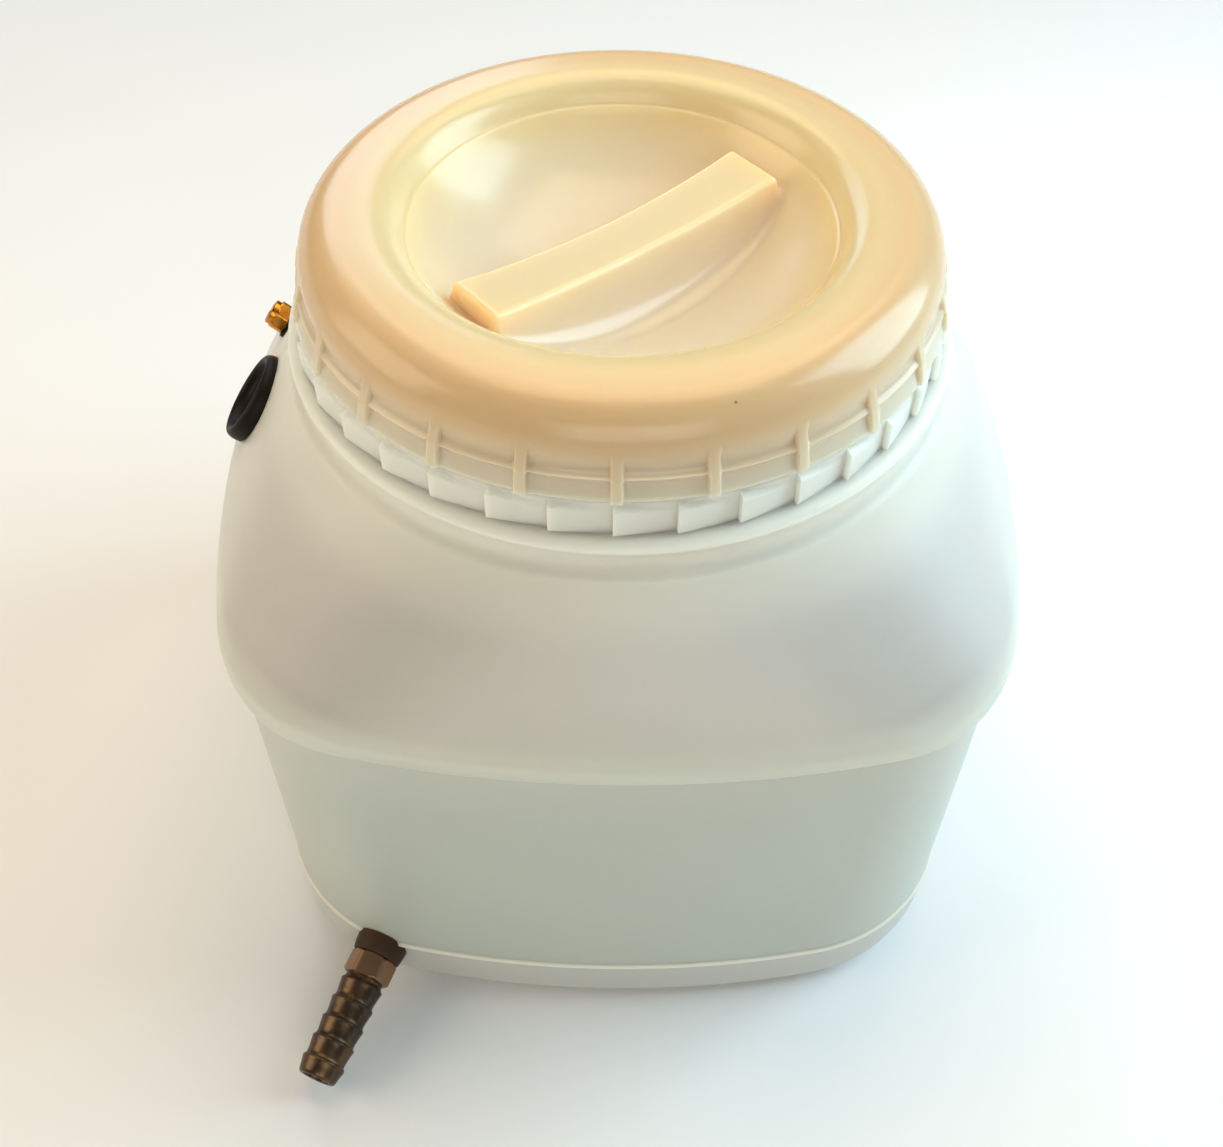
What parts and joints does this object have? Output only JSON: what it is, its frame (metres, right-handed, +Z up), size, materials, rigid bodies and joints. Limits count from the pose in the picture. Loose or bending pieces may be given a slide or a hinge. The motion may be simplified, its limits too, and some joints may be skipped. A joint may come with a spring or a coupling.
{
  "type": "fermenting bucket",
  "caption": "Squat rounded-square fermenting drum with a screw lid, a barbed hose tail at the base, an airlock grommet and a small gas fitting.",
  "frame": {"origin": "centre of the base, on the floor plane", "axes": "+Z up through the neck, -Y towards the front, hose tail at the front left (-X)"},
  "size_m": [0.3474, 0.3923, 0.3376],
  "materials": {
    "drum_hdpe": "satin natural polyethylene, slightly see-through",
    "lid_plastic": "satin cream plastic",
    "seal_rubber": "matt",
    "tail_bronze": "dull brown brass",
    "black_rubber": "matt black",
    "yellow_brass": "bright yellow brass"
  },
  "bodies": {
    "drum": {"drum_body": "drum_hdpe", "hose_tail": "tail_bronze", "tap_outer_washer": "black_rubber", "tap_inner_washer": "black_rubber", "tap_backnut": "tail_bronze", "airlock_grommet": "black_rubber", "gas_fitting": "yellow_brass", "gas_outer_washer": "black_rubber", "gas_inner_washer": "black_rubber", "gas_backnut": "yellow_brass"},
    "seal": {"lid_seal": "seal_rubber"},
    "lid": {"screw_lid": "lid_plastic"}
  },
  "joints": [
    {"name": "lid_rise", "type": "slide", "parent": "drum", "child": "seal", "axis": [0, 0, 1], "range_m": [0, 0.037]},
    {"name": "lid_turn", "type": "hinge", "parent": "seal", "child": "lid", "pos_m": [0, 0, 0.328], "axis": [0, 0, 1], "range_deg": [0, 1080]}
  ],
  "couplings": [
    {"joint": "lid_rise", "follows": "lid_turn", "m_per_rad": 0.0019099}
  ]
}
